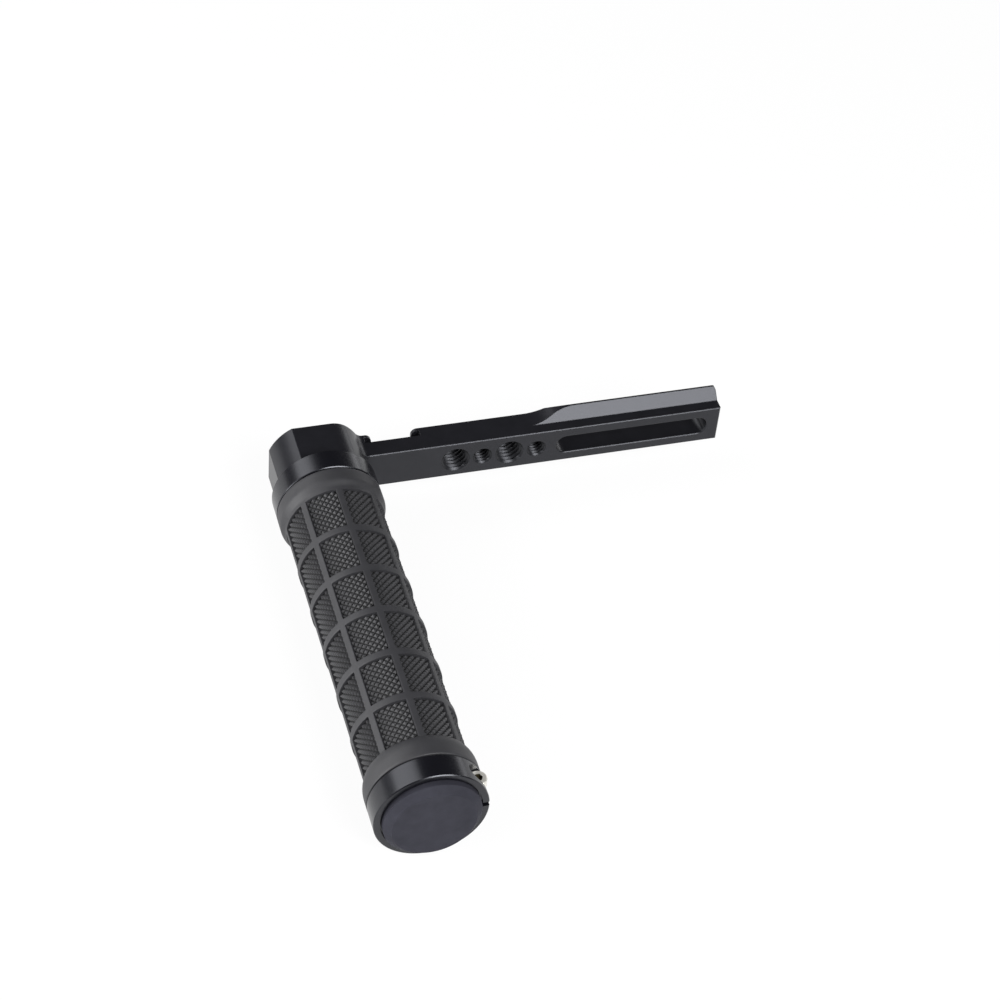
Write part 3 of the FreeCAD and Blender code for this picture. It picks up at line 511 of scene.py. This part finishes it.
@dataclass
class Sleeve:
    """The moulded rubber: collars, a grid of ribs and knurled panels sunk between them.

    Attributes:
        axis: The grip's axis.
        ribs: Number of lengthwise ribs.
        panels: Number of panels along the grip.
        rib_radius: Radius over the ribs.
        floor_radius: Radius of the knurl's grooves.
        moat_radius: Radius of the moat round each panel.
        tip_radius: Radius over the knurl.
        rib_width: Width of a lengthwise rib.
        ring_width: Width of a round rib.
        near_collar: Length of the collar at the arm.
        near_slope: From that collar to the first panel.
        shoulder: Depth at which that collar starts to fall.
        foot: Depth at which it has fallen to the ribs.
        far_collar: Length of the collar at the plug.
        far_slope: From the last panel to that collar.
        far_curve: Power of the curve in which it falls.
        rim_rounding: Radius of the collars' outer edges.
        first_ring: Depth of the first round rib's middle.
        ring_pitch: From one round rib to the next.
        rib_turn: Angle of the first lengthwise rib.
        corner: Radius of a panel's corners.
        wall: Width over which a panel's wall falls.
        side_moat: Width of the moat at a panel's sides and far end.
        top_moat: Width of the moat at its near end.
        lip: Width over which the moat rises to the knurl.
        cells_round: Net cells across a panel's knurl, two to a pyramid.
        cells_along: Net cells along it.
        edge_fall: How far the ribs' edges lie under their middles.
        bore_gap: Gap between the sleeve's bore and the core.
        rib_marks: Where columns lie on half a rib, as shares of it.
        near_marks: Depths of the near collar's rows, in millimetres.
        far_marks: The far collar's, counted from the sleeve's end.
        slope_rows: Number of rows on the near and the far slope.
        slope_gaps: From the panels' outermost rows to the slopes' nearest ones.
    """

    axis: GripAxis
    ribs: int = 8
    panels: int = 6
    rib_radius: float = 16.28 * MM
    floor_radius: float = 15.10 * MM
    moat_radius: float = 14.95 * MM
    tip_radius: float = 15.90 * MM
    rib_width: float = 2.0 * MM
    ring_width: float = 2.5 * MM
    near_collar: float = 3.8 * MM
    near_slope: float = 4.9 * MM
    shoulder: float = 4.6 * MM
    foot: float = 8.0 * MM
    far_collar: float = 3.5 * MM
    far_slope: float = 4.6 * MM
    far_curve: float = 2.4
    rim_rounding: float = 0.45 * MM
    first_ring: float = 26.34 * MM
    ring_pitch: float = 17.84 * MM
    rib_turn: float = math.radians(88.2)
    corner: float = 0.32 * MM
    wall: float = 0.08 * MM
    side_moat: float = 0.24 * MM
    top_moat: float = 0.50 * MM
    lip: float = 0.08 * MM
    cells_round: int = 9
    cells_along: int = 13
    edge_fall: float = 0.05 * MM
    bore_gap: float = 0.05 * MM
    rib_marks: tuple[float, float] = (0.5, 0.84)
    near_marks: tuple[float, ...] = (0.0, 0.08, 0.2, 0.45, 1.2, 2.2, 3.2)
    far_marks: tuple[float, ...] = (2.6, 1.6, 0.9, 0.45, 0.2, 0.08, 0.0)
    slope_rows: tuple[int, int] = (14, 10)
    slope_gaps: tuple[float, float] = (0.2 * MM, 0.3 * MM)

    def __post_init__(self) -> None:
        """Reads where the sleeve starts and ends, and its bore, and sets what follows."""
        low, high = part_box("rubber_sleeve")
        self.start = high.y
        self.length = high.y - low.y
        self.collar = (high.x - low.x) / 2
        core_low, core_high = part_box("grip_core")
        self.bore = (core_high.x - core_low.x) / 2 + self.bore_gap
        self.first_panel = self.near_collar + self.near_slope
        self.last_panel = self.far_collar + self.far_slope
        self.arc = 2 * math.pi * self.rib_radius / self.ribs

    def span(self, rib: float, pitch: float, cells: int, moat: float) -> np.ndarray:
        """Places across half a rib, a panel and the next half rib, crowded at the walls.

        Args:
            rib: Width of the ribs.
            pitch: From the middle of one rib to that of the next.
            cells: Net cells across the panel's knurl.
            moat: Width of the panel's first moat.

        Returns:
            Distances from the first rib's middle.
        """
        half = rib / 2
        inner, outer = (mark * half for mark in self.rib_marks)
        near = np.array([0.0, inner, outer, half, half + self.wall, half + moat - self.lip])
        far = pitch - np.array([
            half + self.side_moat - self.lip, half + self.wall, half, outer, inner,
        ])
        inside = np.linspace(half + moat, pitch - half - self.side_moat, cells + 1)
        return np.concatenate([near, inside, far])

    def columns(self) -> tuple[np.ndarray, np.ndarray]:
        """Places the net's columns.

        Returns:
            Each column's angle, and its distance round from the rib before it.
        """
        one = self.span(self.rib_width, self.arc, self.cells_round, self.side_moat)
        place = np.tile(one, self.ribs)
        number = np.repeat(np.arange(self.ribs), len(one))
        return self.rib_turn + (number * self.arc + place) / self.rib_radius, place

    def panel_rows(self) -> tuple[np.ndarray, np.ndarray, np.ndarray]:
        """Places the net's rows along the panels.

        Returns:
            Each row's depth below the sleeve's start, its distance from the rib before it, and
            the pitch of the ribs beside it.
        """
        edges = [self.first_panel - self.ring_width / 2]
        edges += [self.first_ring + number * self.ring_pitch for number in range(self.panels - 1)]
        edges += [self.length - self.last_panel + self.ring_width / 2]
        depth, place, length = [], [], []
        for begin, end in zip(edges[:-1], edges[1:]):
            pitch = end - begin
            one = self.span(self.ring_width, pitch, self.cells_along, self.top_moat)
            depth.append(begin + one)
            place.append(one)
            length.append(np.full(len(one), pitch))
        return np.concatenate(depth), np.concatenate(place), np.concatenate(length)

    def rows(self) -> tuple[np.ndarray, np.ndarray, np.ndarray]:
        """Places all the rows of the outside: the panels' and the collars'.

        Returns:
            What panel_rows returns, where a collar's row has distance and pitch 0.
        """
        depth, place, pitch = self.panel_rows()
        near_gap, far_gap = self.slope_gaps
        near_count, far_count = self.slope_rows
        near = np.concatenate([
            np.array(self.near_marks) * MM,
            np.linspace(self.near_collar, depth[0] - near_gap, near_count),
        ])
        far = np.concatenate([
            np.linspace(depth[-1] + far_gap, self.length - self.far_collar, far_count),
            self.length - np.array(self.far_marks) * MM,
        ])
        rim = (len(near), len(far))
        return np.concatenate([near, depth, far]), np.pad(place, rim), np.pad(pitch, rim)

    def collar_radius(self, depth: np.ndarray) -> np.ndarray:
        """Radius of the smooth body, whose two collars fall in curves to the ribs.

        Args:
            depth: Depths below the sleeve's start.

        Returns:
            The radius at each depth.
        """
        share = np.clip((depth - self.shoulder) / (self.foot - self.shoulder), 0, 1)
        near = self.collar - (self.collar - self.rib_radius) * share**2 * (3 - 2 * share)
        run = np.clip((self.length - self.far_collar - depth) / self.far_slope, 0, 1)
        far = self.collar - (self.collar - self.rib_radius) * run**self.far_curve
        rim = np.minimum(depth, self.length - depth)
        rounding = self.rim_rounding
        under = np.maximum(rounding - rim, 0)
        drop = rounding - np.sqrt(np.maximum(rounding**2 - under**2, 0))
        return np.where(depth < self.length / 2, near, far) - drop

    def bend(
        self, x: np.ndarray, y: np.ndarray, gap_x: np.ndarray, gap_y: np.ndarray
    ) -> tuple[np.ndarray, np.ndarray]:
        """Rounds the panels' corners: each square ring of points there is bent into an arc.

        Args:
            x: Distances round from the panel's middle.
            y: Distances along from it.
            gap_x: Distances from the panel's side walls.
            gap_y: Distances from its end walls.

        Returns:
            How far each point moves round and along.
        """
        inset = np.minimum(gap_x, gap_y)
        in_corner = (gap_x < self.corner) & (gap_y < self.corner) & (inset > -LENGTH_SLACK)
        leg = self.corner - inset
        safe = np.where(leg > LENGTH_SLACK, leg, 1.0)
        share = np.clip((1 + (gap_x - gap_y) / safe) / 2, 0, 1)
        angle = share * math.pi / 2
        bent_x = self.corner - leg * np.cos(angle)
        bent_y = self.corner - leg * np.sin(angle)
        move_x = np.where(in_corner, (gap_x - bent_x) * np.sign(x), 0)
        move_y = np.where(in_corner, (gap_y - bent_y) * np.sign(y), 0)
        return move_x, move_y

    def knurl(
        self, x: np.ndarray, y: np.ndarray, half_x: float, half_y: np.ndarray
    ) -> tuple[np.ndarray, np.ndarray, np.ndarray]:
        """Shapes the panels' floors.

        Pyramids stand on them: their height is the smaller of two triangle waves that run at 45
        degrees to the axis each way. The moat round them is flat.

        Args:
            x: Distances round from the panel's middle.
            y: Distances along from it.
            half_x: Half a panel's width.
            half_y: Half the length of each row's panel.

        Returns:
            Phase of the first wave, phase of the second one, and the floor's radius.
        """
        knurl_x = 2 * half_x - 2 * self.side_moat
        knurl_y = 2 * half_y - self.top_moat - self.side_moat
        across = (x + half_x - self.side_moat) / (2 * knurl_x / self.cells_round)
        along = (y + half_y - self.top_moat) / np.maximum(2 * knurl_y / self.cells_along, MM)
        u, v = across + along, across - along
        wave_u = 1 - np.abs(2 * (u - np.floor(u)) - 1)
        wave_v = 1 - np.abs(2 * (v - np.floor(v)) - 1)
        pyramid = np.minimum(wave_u, wave_v)
        middle_x, middle_y = self.cells_round / 4, self.cells_along / 4
        on_knurl = np.abs(across - middle_x) < middle_x + CELL_SLACK
        on_knurl = on_knurl & (np.abs(along - middle_y) < middle_y + CELL_SLACK)
        height = (self.tip_radius - self.floor_radius) * pyramid
        return u, v, np.where(on_knurl, self.floor_radius + height, self.moat_radius)

    @staticmethod
    def crease_distance(phase: np.ndarray) -> np.ndarray:
        """Measures how far the cells' middles lie from a wave's grooves.

        Args:
            phase: The wave's phase at each point, in a net whose columns close on themselves.

        Returns:
            For each cell, the distance of its middle's phase from the nearest whole number.
        """
        wrapped = np.concatenate([phase, phase[:, :1]], axis=1)
        middle = (wrapped[:-1, :-1] + wrapped[1:, :-1] + wrapped[:-1, 1:] + wrapped[1:, 1:]) / 4
        return np.abs(middle - np.round(middle))

    def build(self) -> bpy.types.Object:
        """Builds the sleeve as one closed skin.

        A point's radius is its panel's floor inside a panel's walls, and the smooth body's
        elsewhere, which falls a little at the ribs' edges. Three plain rows make the bore.

        Returns:
            The rubber piece.
        """
        turn, across = self.columns()
        depth, along, pitch = self.rows()
        x = across[None, :] - self.arc / 2
        y = (along - pitch / 2)[:, None]
        half_x = self.arc / 2 - self.rib_width / 2
        half_y = (pitch / 2 - self.ring_width / 2)[:, None]
        gap_x, gap_y = half_x - np.abs(x), half_y - np.abs(y)
        inset = np.minimum(gap_x, gap_y)
        move_x, move_y = self.bend(x, y, gap_x, gap_y)
        u, v, floor = self.knurl(x, y, half_x, half_y)
        on_edge = np.abs(inset) < EDGE_SLACK
        body = self.collar_radius(depth)[:, None] - np.where(on_edge, self.edge_fall, 0)
        # The rows at a panel's edge belong to its ribs.
        radius = np.where(inset > self.wall / 2, floor, body)
        place = self.start - (depth[:, None] + move_y)
        outer = self.axis.points(radius, turn[None, :] + move_x / self.rib_radius, place)
        bore_place = self.start - np.array([self.length, self.length / 2, 0.0])[:, None]
        inner = self.axis.points(np.array(self.bore), turn[None, :], bore_place)
        points = np.concatenate([outer, inner])
        # Cell diagonals follow the grooves, so that each pyramid keeps its flat faces.
        flip = np.zeros(points.shape[:2], dtype=bool)
        flip[: len(outer) - 1] = self.crease_distance(u) < self.crease_distance(v)
        piece = put_mesh("rubber_grip", points.reshape(-1, 3), net_faces(flip))
        weld(piece)
        # The grooves' painted shade is measured from the grip's axis.
        centre = (self.axis.across, 0.0, self.axis.height)
        dress(piece, replace(RUBBER, centre=centre), Slot.RUBBER, "rubber_sleeve")
        return piece


@dataclass
class Threads:
    """The thread inside each of the bar's four holes, as a liner whose bore is the thread.

    Attributes:
        axis: The grip's axis, from which the holes' places count.
        first: From the axis to the first hole.
        pitch: From one hole to the next.
        majors: Outer diameter of each hole's thread.
        turns_per_inch: Turns of each hole's thread in an inch.
        length: Length of a liner.
        columns: Points round a liner.
        steps: Rows of points in a turn of thread.
        spare_turns: Turns of rows over those that the length takes, half of them at each end.
        clearance: Gap between a liner and its hole, and a liner's least wall.
        depth: Height of the thread, as a share of its lead.
        crest: Width of a crest, as a share of the lead.
        flanks: Width of a thread's two flanks, as a share of the lead.
        low_turn: Share of a turn from +X to the hole's lowest point.
        crest_depth: How far behind the front face a crest lies there, as a share of the lead.
    """

    axis: GripAxis
    first: float = 46.0 * MM
    pitch: float = 9.35 * MM
    majors: tuple[float, ...] = (9.525 * MM, 6.35 * MM, 9.525 * MM, 6.35 * MM)
    turns_per_inch: tuple[int, ...] = (16, 20, 16, 20)
    length: float = 10.2 * MM
    columns: int = 48
    steps: int = 8
    spare_turns: int = 3
    clearance: float = 0.012 * MM
    depth: float = 0.5413
    crest: float = 0.125
    flanks: float = 0.75
    low_turn: float = 0.75
    crest_depth: float = 0.35

    def __post_init__(self) -> None:
        """Reads the bar's back face."""
        self.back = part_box("arm")[1].y

    def profile(self, phase: np.ndarray, minor: float, major: float) -> np.ndarray:
        """Radius at a phase: a crest at the minor radius, two straight flanks and a root."""
        rise = np.clip((np.abs(2 * phase - 1) - self.crest) / self.flanks, 0, 1)
        return minor + (major - minor) * rise

    def build_one(self, number: int) -> bpy.types.Object:
        """Builds one liner.

        The net's rows follow the helix: each point's place along the hole is its row's phase plus
        its angle's share of a turn, times the lead, and is kept between the hole's ends, where the
        points that fall together are merged. Its radius is the larger of the thread's and of a 45
        degree cone at each end.

        Args:
            number: Which hole, counted from the head.

        Returns:
            The liner.
        """
        lead = INCH / self.turns_per_inch[number]
        # A crest's middle is at phase 0.5. One meets the front cone at the hole's lowest point.
        offset = (0.5 + self.low_turn - self.length / lead + self.crest_depth) % 1.0
        major = self.majors[number] / 2 - self.clearance
        minor = major - self.depth * lead
        steps = (np.arange(self.steps) + 0.5) / self.steps
        turns = int(self.length / lead) + self.spare_turns
        phases = (np.arange(turns)[:, None] + steps[None, :] - self.spare_turns / 2).ravel()
        share = np.arange(self.columns) / self.columns
        place = np.clip((phases[:, None] + share[None, :] - offset) * lead, 0, self.length)
        phase = np.mod(place / lead - share[None, :] + offset, 1.0)
        cone = np.maximum(major - place, major - (self.length - place))
        bore = np.maximum(self.profile(phase, minor, major - self.clearance), cone)
        bore = np.minimum(bore, major - self.clearance)
        rows, columns = place.shape
        inner = np.arange(rows * columns).reshape(rows, columns)
        # A turn further round, a row is the one that lies a lead further on.
        after = np.roll(inner, -1, axis=1)
        after[:-self.steps, -1] = inner[self.steps:, 0]
        rows -= self.steps
        angle = 2 * math.pi * share
        centre = self.axis.across + self.first + number * self.pitch
        points = np.stack([
            centre + bore * np.cos(angle), self.back - place,
            self.axis.height + bore * np.sin(angle),
        ], axis=-1).reshape(-1, 3)
        ends = np.array([0.0, self.length])[:, None]
        skin = np.stack(np.broadcast_arrays(
            centre + major * np.cos(angle), self.back - ends,
            self.axis.height + major * np.sin(angle),
        ), axis=-1).reshape(-1, 3)
        front, back = np.arange(2 * columns).reshape(2, columns) + len(points)
        strips = [(inner[0], front), (front, back), (back, inner[rows])]
        faces = [self.split(inner[:rows], after[:rows], after[1:rows + 1], inner[1:rows + 1])]
        faces += [self.split(one, np.roll(one, -1), np.roll(other, -1), other)
                  for one, other in strips]
        name = f"thread_{number + 1}"
        piece = put_mesh(name, np.concatenate([points, skin]), np.concatenate(faces))
        weld(piece)
        dress(piece, THREAD_ANODISED, Slot.ARM)
        return piece

    @staticmethod
    def split(a: np.ndarray, b: np.ndarray, c: np.ndarray, d: np.ndarray) -> np.ndarray:
        """Splits four-sided faces.

        Args:
            a: First corner of each face.
            b: Second corner.
            c: Third corner.
            d: Fourth corner.

        Returns:
            Two triangles for each face, as rows of three point numbers.
        """
        first = np.stack([a, b, c], -1).reshape(-1, 3)
        second = np.stack([a, c, d], -1).reshape(-1, 3)
        return np.concatenate([first, second])

    def build(self) -> list[bpy.types.Object]:
        """Builds all the liners."""
        return [self.build_one(number) for number in range(len(self.majors))]


@dataclass(frozen=True)
class Lamp:
    """A soft rectangular lamp.

    Attributes:
        name: The lamp's name.
        offset: Where it hangs, from the point that it faces.
        size: Its width and height.
        power: Its power, in watts.
    """

    name: str
    offset: tuple[float, float, float]
    size: tuple[float, float]
    power: float

    def build(self, target: Vector) -> None:
        """Hangs the lamp.

        Args:
            target: The point that it faces.
        """
        place = target + Vector(self.offset)
        data = bpy.data.lights.new(self.name, "AREA")
        data.shape = "RECTANGLE"
        data.size, data.size_y = self.size
        data.energy = self.power
        lamp = bpy.data.objects.new(self.name, data)
        lamp.location = place
        lamp.rotation_euler = (target - place).to_track_quat("-Z", "Y").to_euler()
        bpy.context.scene.collection.objects.link(lamp)


LAMPS = (
    Lamp("key", (0.30, -0.75, 0.72), (0.65, 0.65), 15.5),
    Lamp("left", (-1.05, -0.10, 0.30), (1.1, 0.7), 17.0),
    Lamp("left_back", (-0.80, 0.68, 0.85), (1.0, 0.9), 7.6),
    Lamp("right_back", (1.2, 1.0, 0.25), (1.5, 0.25), 2.6),
)


@dataclass
class Studio:
    """Floor, lamps and the camera at the photograph's place.

    Attributes:
        camera_place: Where the camera stands.
        camera_turn: Its turns about X, Y and Z, in degrees.
        lens: Its focal length, in millimetres.
        sensor: Its sensor's width, in millimetres.
        near_clip: Nearest distance that it sees.
        target: The point that the lamps face.
        floor_reach: Half the floor's width.
        floor_colour: Colour of the floor under the lamps.
        floor_glow: Share of plain white in the floor that the camera and reflections see.
        room_light: Colour of the room's dim light.
    """

    camera_place: tuple[float, float, float] = (-0.206214, -0.505854, 0.579736)
    camera_turn: tuple[float, float, float] = (46.1354, -4.2556, -15.8689)
    lens: float = 89.479
    sensor: float = 36.0
    near_clip: float = 0.01
    target: tuple[float, float, float] = (0.0, 0.0, 0.01)
    floor_reach: float = 6.0
    floor_colour: tuple[float, float, float] = (0.92, 0.92, 0.92)
    floor_glow: float = 0.92
    room_light: tuple[float, float, float] = (0.07, 0.07, 0.075)

    def build(self) -> None:
        """Makes the floor, the room, the lamps and the camera."""
        self.add_floor()
        self.add_room()
        for lamp in LAMPS:
            lamp.build(Vector(self.target))
        self.add_camera()
        bpy.context.scene.view_settings.view_transform = "Standard"

    def add_camera(self) -> None:
        """Stands the camera where the photograph was taken from."""
        camera = bpy.data.objects.new("camera", bpy.data.cameras.new("camera"))
        camera.data.sensor_width = self.sensor
        camera.data.lens = self.lens
        camera.data.clip_start = self.near_clip
        camera.location = self.camera_place
        camera.rotation_euler = Euler([math.radians(part) for part in self.camera_turn], "XYZ")
        bpy.context.scene.collection.objects.link(camera)
        bpy.context.scene.camera = camera

    def add_floor(self) -> None:
        """Makes the pale floor, nearly plain white to the camera and to glossy reflections."""
        reach = self.floor_reach
        corners = [(-reach, -reach, 0), (reach, -reach, 0), (reach, reach, 0), (-reach, reach, 0)]
        floor = put_mesh("floor", np.array(corners), np.array([(0, 1, 2, 3)]))
        graph = Graph("floor")
        matt = graph.add("BsdfDiffuse", Color=(*self.floor_colour, 1.0))
        white = graph.add("Emission", Color=WHITE, Strength=1.0)
        mix = graph.add("MixShader")
        path = graph.add("LightPath")
        share = graph.add("Math", operation="MULTIPLY")
        share.inputs[1].default_value = self.floor_glow
        seen = graph.add("Math", operation="MAXIMUM")
        graph.join(path.outputs["Is Camera Ray"], seen.inputs[0])
        graph.join(path.outputs["Is Glossy Ray"], seen.inputs[1])
        graph.join(seen.outputs["Value"], share.inputs[0])
        graph.join(share.outputs["Value"], mix.inputs["Fac"])
        graph.join(matt.outputs["BSDF"], mix.inputs[1])
        graph.join(white.outputs["Emission"], mix.inputs[2])
        output = graph.add("OutputMaterial")
        graph.join(mix.outputs["Shader"], output.inputs["Surface"])
        floor.data.materials.append(graph.material)

    def add_room(self) -> None:
        """Makes the room: white to the camera and dim to everything else."""
        world = bpy.data.worlds.new("room")
        world.use_nodes = True
        nodes = world.node_tree.nodes
        nodes.clear()
        links = world.node_tree.links
        path = nodes.new("ShaderNodeLightPath")
        seen = nodes.new("ShaderNodeBackground")
        seen.inputs["Color"].default_value = WHITE
        lit = nodes.new("ShaderNodeBackground")
        lit.inputs["Color"].default_value = (*self.room_light, 1.0)
        mix = nodes.new("ShaderNodeMixShader")
        output = nodes.new("ShaderNodeOutputWorld")
        links.new(path.outputs["Is Camera Ray"], mix.inputs["Fac"])
        links.new(lit.outputs["Background"], mix.inputs[1])
        links.new(seen.outputs["Background"], mix.inputs[2])
        links.new(mix.outputs["Shader"], output.inputs["Surface"])
        bpy.context.scene.world = world


def main() -> None:
    """Dresses the handle and lays out the studio."""
    logging.basicConfig(level=logging.INFO, format="%(name)s: %(message)s")
    axis = GripAxis()
    for piece in [Sleeve(axis).build(), *Threads(axis).build()]:
        log.info("%s: %d faces", piece.name, len(piece.data.polygons))
    low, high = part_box("outer_clamp_screw")
    head = ((low.x + high.x) / 2, (low.y + high.y) / 2, high.z)
    finishes: dict[str, Finish] = {
        "arm": ANODISED,
        "inner_clamp_ring": GLOSS_RING,
        "outer_clamp_ring": GLOSS_RING,
        "end_plug": PLASTIC,
        "inner_clamp_screw": BRIGHT_STEEL,
        # The outer screw's key socket gets painted shade.
        "outer_clamp_screw": replace(SOCKET_SHADED_STEEL, centre=head),
        "tube_bolt": BLACK_STEEL,
        "grip_tube": TURNED_ALUMINIUM,
        "grip_core": CORE_PLASTIC,
    }
    for node, finish in finishes.items():
        repaint(node, finish)
        log.info("%s: %s", node, finish.name)
    Studio().build()


if __name__ == "__main__":
    main()
